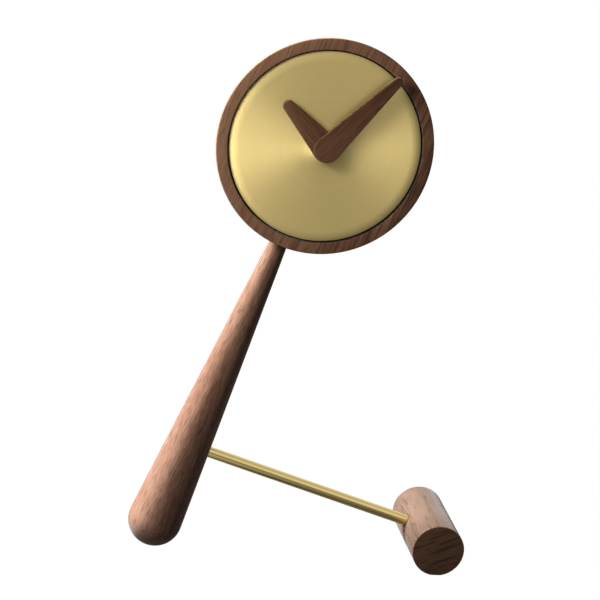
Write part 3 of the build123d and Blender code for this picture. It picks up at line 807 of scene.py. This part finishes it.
def leg_tree(name):
    """Geometry nodes for a straight taper that runs into a round foot, drawn along z, and their inputs."""
    group = bpy.data.node_groups.new(name, "GeometryNodeTree")
    group.is_modifier = True
    group.interface.new_socket("Geometry", in_out="OUTPUT", socket_type="NodeSocketGeometry")
    kinds = {"Top": "Float", "Foot Centre": "Float", "Foot Radius": "Float", "Slope": "Float",
             "Rings": "Int", "Sides": "Int", "Wood": "Material"}
    inputs = {}
    for label, kind in kinds.items():
        socket = group.interface.new_socket(label, in_out="INPUT", socket_type=f"NodeSocket{kind}")
        inputs[label] = socket.identifier
    leg = NodeTree(group)
    given = leg.add("NodeGroupInput").outputs
    top, foot, ball, slope = (given[label] for label in ("Top", "Foot Centre", "Foot Radius", "Slope"))

    # How far down each ring lies, closer together towards the foot, and its radius on the cone or the ball
    share = leg.add("GeometryNodeSplineParameter").outputs["Factor"]
    eased = leg.math("SINE", leg.times(share, pi / 2))
    down = leg.plus(top, leg.times(eased, leg.minus(leg.plus(foot, ball), top)))
    past = leg.minus(down, foot)
    cone = leg.plus(leg.math("DIVIDE", ball, leg.math("COSINE", slope)),
                    leg.times(past, leg.math("TANGENT", slope)))
    square = leg.minus(leg.times(ball, ball), leg.times(past, past))
    round_end = leg.math("SQRT", leg.larger(square, 0.0))
    touch = leg.times(leg.times(ball, leg.math("SINE", slope)), -1.0)
    on_ball = leg.math("GREATER_THAN", past, touch)
    radius = leg.plus(leg.times(round_end, on_ball), leg.times(cone, leg.minus(1.0, on_ball)))

    # A line with one point for each ring, and a circle swept along it
    line = leg.add("GeometryNodeCurvePrimitiveLine").outputs["Curve"]
    line = leg.add("GeometryNodeResampleCurve", {"Curve": line, "Count": given["Rings"]}).outputs["Curve"]
    store = leg.add("GeometryNodeStoreNamedAttribute", {"Geometry": line, "Name": "girth", "Value": radius},
                    data_type="FLOAT", domain="POINT")
    place = leg.add("ShaderNodeCombineXYZ", {"Z": down}).outputs[0]
    move = leg.add("GeometryNodeSetPosition", {"Geometry": store.outputs["Geometry"], "Position": place})
    ring = leg.add("GeometryNodeCurvePrimitiveCircle", {"Resolution": given["Sides"], "Radius": 1.0})
    girth = leg.add("GeometryNodeInputNamedAttribute", {"Name": "girth"}, data_type="FLOAT")
    sweep = leg.add("GeometryNodeCurveToMesh", {
        "Curve": move.outputs["Geometry"], "Profile Curve": ring.outputs["Curve"], "Fill Caps": True,
        "Scale": girth.outputs["Attribute"]})
    skin = sweep.outputs["Mesh"]
    for kind, extra in (("MergeByDistance", {"Distance": MERGE_DISTANCE}), ("RealizeInstances", {}),
                        ("SetMaterial", {"Material": given["Wood"]})):
        skin = leg.add(f"GeometryNode{kind}", {"Geometry": skin, **extra}).outputs["Geometry"]
    leg.add("NodeGroupOutput", {"Geometry": skin})
    return group, inputs


def stand_on_floor(mesh):
    """Sand a mesh flat where it rests on the surface."""
    for corner in mesh.vertices:
        corner.co.z = max(corner.co.z, 0.0)
    mesh.update()


class CLOCK_OT_stand(bpy.types.Operator):
    """Make the tapered leg, the brass strut and the roller foot"""
    bl_idname = "clock.stand"
    bl_label = "Leg, strut and roller"

    def execute(self, context):
        stand = context.scene.clock_stand
        finish = context.scene.clock_finish
        self.leg(stand, finish, context.scene.clock_head.case_radius)
        self.strut(stand, finish)
        self.roller(stand, finish)
        return {"FINISHED"}

    def leg(self, stand, finish, case_radius):
        """The leg, from its rule: a cone that touches the ball of its foot."""
        down = leg_direction(stand)
        run = stand.leg_length - case_radius
        slope = asin(stand.foot_radius / hypot(stand.rim_radius, run)) - atan2(stand.rim_radius, run)
        wood = walnut("leg_walnut", finish, "leg", down, Vector((0.5, 0.8, 0)))
        leg = new_object("walnut_leg", bpy.data.meshes.new("walnut_leg"))
        tree, inputs = leg_tree("turned_leg")
        rule = leg.modifiers.new("turned_leg", "NODES")
        rule.node_group = tree
        values = {"Top": case_radius - stand.seat_depth, "Foot Centre": stand.leg_length,
                  "Foot Radius": stand.foot_radius, "Slope": slope, "Rings": LEG_RINGS,
                  "Sides": LEG_SIDES, "Wood": wood}
        for label, value in values.items():
            rule[inputs[label]] = value
        mesh = applied(leg)
        bpy.data.node_groups.remove(tree)
        mesh.transform(axis_matrix(head_centre, down, Vector((0, -1, 0))))
        stand_on_floor(mesh)
        shade(mesh, 50)
        dress(leg, "leg", wood)

    def strut(self, stand, finish):
        """The drawn brass strut, with its ends inside leg and roller."""
        along = strut_direction(stand)
        start = strut_start(stand)
        radius = stand.strut_radius
        corner = radius * sin(stand.strut_fall)
        low = (strut_low.x + corner - start.x) / along.x
        high = (strut_high.x - corner - start.x) / along.x
        profile = [(0, low), (radius, low)]
        profile += [(radius, place) for place in between(low, high, 40)]
        profile += [(radius, high), (0, high)]
        strut = lathe("brass_strut", profile, axis_matrix(start, along, Vector((0, 1, 0))), segments=64)
        drawn = brushed_brass("drawn_brass", finish.brass, lines=30, streaks=0.4, roughness=0.17,
                              anisotropic=0.2)
        dress(strut, "strut_rod", drawn)

    def roller(self, stand, finish):
        """The roller foot, flat underneath and open round the strut's entry."""
        half = (roller_high.y - roller_low.y) / 2
        radius = stand.roller_radius
        edge = stand.roller_edge
        profile = [(0, -half)] + arc((radius - edge, edge - half), edge, -90, 0, 8)
        profile += [(radius, place) for place in between(-half, half, 16)]
        profile += arc((radius - edge, half - edge), edge, 0, 90, 8) + [(0, half)]
        centre = Vector(((roller_low.x + roller_high.x) / 2, 0, roller_high.z - radius))
        along = Vector((0, 1, 0))
        roller = lathe("walnut_roller", profile, axis_matrix(centre, along, Vector((1, 0, 0))))
        entry = axis_matrix(strut_start(stand), strut_direction(stand), along)
        surface = (centre - strut_start(stand)).dot(strut_direction(stand)) - radius
        ring = circle(stand.strut_radius + stand.entry_gap, 48)
        hole = prism("strut_entry", ring, surface - CUT_OVERLAP, surface + stand.entry_depth, entry)
        carve(roller, [hole])
        stand_on_floor(roller.data)
        across = Vector((-sin(finish.roller_lines), 0, cos(finish.roller_lines)))
        wood = walnut("roller_walnut", finish, "roller", along, across, end_colour=finish.roller_end)
        dress(roller, "roller_foot", wood)


def smooth_copy(node, material, bevel=0.0):
    """A merged copy of a frame node with smooth shading and eased edges, which stands for it."""
    bm = bmesh.new()
    bm.from_mesh(frame["nodes"][node].data)
    bmesh.ops.remove_doubles(bm, verts=bm.verts, dist=MERGE_DISTANCE)
    bmesh.ops.dissolve_limit(bm, angle_limit=radians(0.5), verts=bm.verts, edges=bm.edges)
    mesh = bpy.data.meshes.new(f"{node}_finished")
    bm.to_mesh(mesh)
    bm.free()
    mesh.materials.clear()
    thing = new_object(mesh.name, mesh)
    if bevel:
        ease = thing.modifiers.new("eased_edges", "BEVEL")
        ease.width = bevel
        ease.segments = 2
        ease.limit_method = "ANGLE"
        ease.angle_limit = radians(50)
        ease.use_clamp_overlap = True
        applied(thing)
    shade(thing.data, 35)
    dress(thing, node, material)


class CLOCK_OT_movement(bpy.types.Operator):
    """Finish the quartz movement that shows in the case's back: housing, setting knob, cell and contacts"""
    bl_idname = "clock.movement"
    bl_label = "Movement"

    def execute(self, context):
        plastic = context.scene.clock_finish.plastic
        housing = moulded("housing_plastic", plastic, roughness=0.52)
        smooth_copy("movement_front_housing", housing)
        smooth_copy("movement_back_housing", housing, bevel=0.25 * MM)
        knob = moulded("knob_plastic", toned(plastic, 1.6), roughness=0.42)
        smooth_copy("setting_knob", knob, bevel=0.12 * MM)
        smooth_copy("battery", cell_sleeve("cell_sleeve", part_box("battery")[1].x), bevel=0.3 * MM)
        plated = plain_metal("nickel_plate", (0.68, 0.67, 0.63), roughness=0.25)
        smooth_copy("contact_positive", plated, bevel=0.1 * MM)
        smooth_copy("contact_negative", plated, bevel=0.1 * MM)
        return {"FINISHED"}


class CLOCK_OT_works(bpy.types.Operator):
    """Finish the hidden works: bushes, arbor, wheels, motor, board and leg fittings"""
    bl_idname = "clock.works"
    bl_label = "Hidden works"

    def execute(self, context):
        brass = context.scene.clock_finish.brass
        finishes = (
            (plain_metal("fitting_brass", brass, roughness=0.30),
             ("hour_hand_bush", "minute_hand_bush", "leg_insert", "threaded_bush", "minute_arbor")),
            (plain_metal("zinc_steel", (0.56, 0.56, 0.55), roughness=0.30), ("leg_stud", "quartz_crystal")),
            (moulded("washer_rubber", (0.022, 0.022, 0.022), roughness=0.8), ("rubber_washer",)),
            (moulded("wheel_plastic", (0.72, 0.69, 0.60), roughness=0.38),
             ("hour_wheel", "centre_wheel", "minute_wheel", "third_wheel")),
            (plain_metal("sintered_magnet", (0.10, 0.10, 0.11), roughness=0.55), ("rotor",)),
            (plain_metal("stamped_iron", (0.42, 0.42, 0.43), roughness=0.38), ("stator",)),
            (moulded("former_plastic", (0.62, 0.58, 0.48), roughness=0.45), ("coil_bobbin",)),
            (wound_copper("enamelled_copper"), ("coil_winding",)),
            (printed_board("solder_resist"), ("circuit_board",)),
        )
        for material, nodes in finishes:
            for node in nodes:
                smooth_copy(node, material)
        return {"FINISHED"}


def soft_box(name, place, aim, size, power):
    """A studio light turned to a point, which the camera doesn't see."""
    lamp = bpy.data.lights.new(name, "AREA")
    lamp.shape = "RECTANGLE"
    lamp.size, lamp.size_y = size
    lamp.energy = power
    thing = bpy.data.objects.new(name, lamp)
    thing.visible_camera = False
    thing.location = place
    thing.rotation_euler = (aim - place).to_track_quat("-Z", "Y").to_euler()
    bpy.context.scene.collection.objects.link(thing)
    return thing


def floor_material(near, far):
    """Pale table: white in the picture, keeps the shadow, and shows in reflections from some way off.

    The camera sees mostly the floor's own glow, and the rest takes the shadow. Reflections show the table to
    the left of the clock, and little of it to the right.
    """
    glow_share, glow_strength = 0.92, 1.085
    right_start, left_full = 0.04, -0.12
    right_share = 0.06
    pale = Finish("pale_floor")
    grey = (0.04, 0.04, 0.04, 1)
    pale.feed(pale.shader, {"Base Color": grey, "Roughness": 0.9, "Specular IOR Level": 0.1})
    rays = pale.add("ShaderNodeLightPath").outputs
    place = pale.object_coordinates()
    away = pale.add("ShaderNodeVectorMath", {0: place}, operation="LENGTH").outputs["Value"]
    sideways = pale.span(pale.axes(place)["X"], right_start, left_full, right_share, 1.0)
    lit = pale.times(pale.span(away, near, far), sideways)
    mirrored = pale.times(pale.larger(rays["Is Glossy Ray"], rays["Is Transmission Ray"]), lit)
    seen = pale.times(rays["Is Camera Ray"], glow_share)
    glow = pale.add("ShaderNodeEmission", {"Strength": glow_strength}).outputs[0]
    mix = pale.add("ShaderNodeMixShader")
    pale.feed(mix, {"Fac": pale.larger(seen, mirrored), 1: pale.shader.outputs[0], 2: glow})
    pale.feed(pale.tree.nodes["Material Output"], {"Surface": mix.outputs[0]})
    return pale.block


def studio_world():
    """White to the camera, a dim room for the light, and a brighter room for reflections.

    The light is dimmer from above and from the right. Reflections show a white wall behind, and in front a
    room that is dark low down and brighter higher up and to the left.
    """
    dim_level, dim_above = 0.13, 0.08
    right_share = 0.5
    top_share = 0.6
    front_low = 0.10
    left_glow = 0.4
    room = Finish("studio", "worlds", "Background")
    right, back, up = room.axes(room.add("ShaderNodeTexCoord").outputs["Generated"])
    rays = room.add("ShaderNodeLightPath").outputs
    fading = room.span(right, -0.1, 0.7, 1.0, right_share)
    dim = room.times(room.span(up, 0.0, 0.6, dim_level, dim_above), fading)
    top = room.span(up, 0.5, 0.85, 1.0, top_share)
    wall = room.times(room.span(back, 0.0, 0.3), top)
    front = room.plus(room.times(room.span(up, 0.0, 0.5, front_low, 1.0), top),
                      room.span(right, -0.25, -0.8, 0.0, left_glow))
    mirrored = room.times(room.larger(wall, front), rays["Is Glossy Ray"])
    shaded = room.times(dim, room.minus(1.0, rays["Is Glossy Ray"]))
    shown = room.larger(rays["Is Camera Ray"], rays["Is Transmission Ray"])
    strength = room.larger(room.larger(shown, mirrored), shaded)
    return room.done({"Color": (1, 1, 1, 1), "Strength": strength})


class CLOCK_OT_stage(bpy.types.Operator):
    """Lay the floor, light the studio and set up the camera"""
    bl_idname = "clock.stage"
    bl_label = "Stage"

    def execute(self, context):
        studio = context.scene.clock_studio
        self.floor(studio)
        self.lamps(studio)
        self.camera(context, studio)
        context.scene.world = studio_world()
        context.scene.view_settings.view_transform = "Standard"
        return {"FINISHED"}

    def floor(self, studio):
        """A square floor just under the clock."""
        half = studio.floor_size / 2
        corners = [(-half, -half, 0), (half, -half, 0), (half, half, 0), (-half, half, 0)]
        mesh = bpy.data.meshes.new("floor")
        mesh.from_pydata(corners, [], [(0, 1, 2, 3)])
        mesh.materials.append(floor_material(studio.table_near, studio.table_far))
        floor = new_object("floor", mesh)
        floor.location.z = -FLOOR_GAP

    def lamps(self, studio):
        """A key light, a soft light that leaves no glint, and two cards that only reflections show."""
        middle = Vector((0, 0, cad_box[1][2] / 2))
        head = head_centre
        soft_box("key_light", studio.key_place, middle, studio.key_size, studio.key_power)
        front = soft_box("front_light", studio.front_place, head, studio.front_size, studio.front_power)
        front.visible_glossy = False
        low = soft_box("reflector_card", studio.card_place, head, studio.card_size, studio.card_power)
        tall = soft_box("tall_card", studio.tall_place, head, studio.tall_size, studio.tall_power)
        for card in (low, tall):
            card.visible_diffuse = False

    def camera(self, context, studio):
        """The photograph's viewpoint: turned round the dial, raised, and rolled a little."""
        level = cos(studio.pitch)
        back = Vector((sin(studio.yaw) * level, -cos(studio.yaw) * level, sin(studio.pitch)))
        right = Vector((cos(studio.yaw), sin(studio.yaw), 0))
        up = back.cross(right)
        side = right * cos(studio.roll) + up * sin(studio.roll)
        top = up * cos(studio.roll) - right * sin(studio.roll)
        aim = Vector((head_centre.x + studio.aim_right, case_low.y, head_centre.z + studio.aim_up))
        lens = bpy.data.cameras.new("view")
        lens.sensor_width = SENSOR_WIDTH
        lens.lens = studio.focal / PHOTO_WIDTH * SENSOR_WIDTH
        lens.clip_start = 0.05
        lens.clip_end = 50
        view = bpy.data.objects.new("view", lens)
        turn = Matrix((side, top, back)).transposed().to_4x4()
        view.matrix_world = Matrix.Translation(aim + back * studio.distance) @ turn
        context.scene.collection.objects.link(view)
        context.scene.camera = view


class CLOCK_PT_build(bpy.types.Panel):
    """Lists the steps that build the clock"""
    bl_idname = "CLOCK_PT_build"
    bl_label = "Table clock"
    bl_space_type = "VIEW_3D"
    bl_region_type = "UI"
    bl_category = "Clock"

    def draw(self, context):
        for step in build_steps:
            self.layout.operator(step.bl_idname)


groups = {"clock_head": ClockHeadSizes, "clock_stand": StandSizes, "clock_finish": ClockFinish,
          "clock_studio": StudioSettings}
build_steps = (CLOCK_OT_case, CLOCK_OT_dial, CLOCK_OT_hands, CLOCK_OT_stand, CLOCK_OT_movement,
               CLOCK_OT_works, CLOCK_OT_stage)


def register():
    """Register the property groups, operators and panel."""
    for name, group in groups.items():
        bpy.utils.register_class(group)
        setattr(bpy.types.Scene, name, bpy.props.PointerProperty(type=group))
    for step in build_steps:
        bpy.utils.register_class(step)
    bpy.utils.register_class(CLOCK_PT_build)


def unregister():
    """Remove everything that register added."""
    bpy.utils.unregister_class(CLOCK_PT_build)
    for step in reversed(build_steps):
        bpy.utils.unregister_class(step)
    for name, group in groups.items():
        delattr(bpy.types.Scene, name)
        bpy.utils.unregister_class(group)


def main():
    """Register the steps, then build every piece and the stage."""
    register()
    bpy.ops.clock.case()
    bpy.ops.clock.dial()
    bpy.ops.clock.hands()
    bpy.ops.clock.stand()
    bpy.ops.clock.movement()
    bpy.ops.clock.works()
    bpy.ops.clock.stage()


if __name__ == "__main__":
    main()
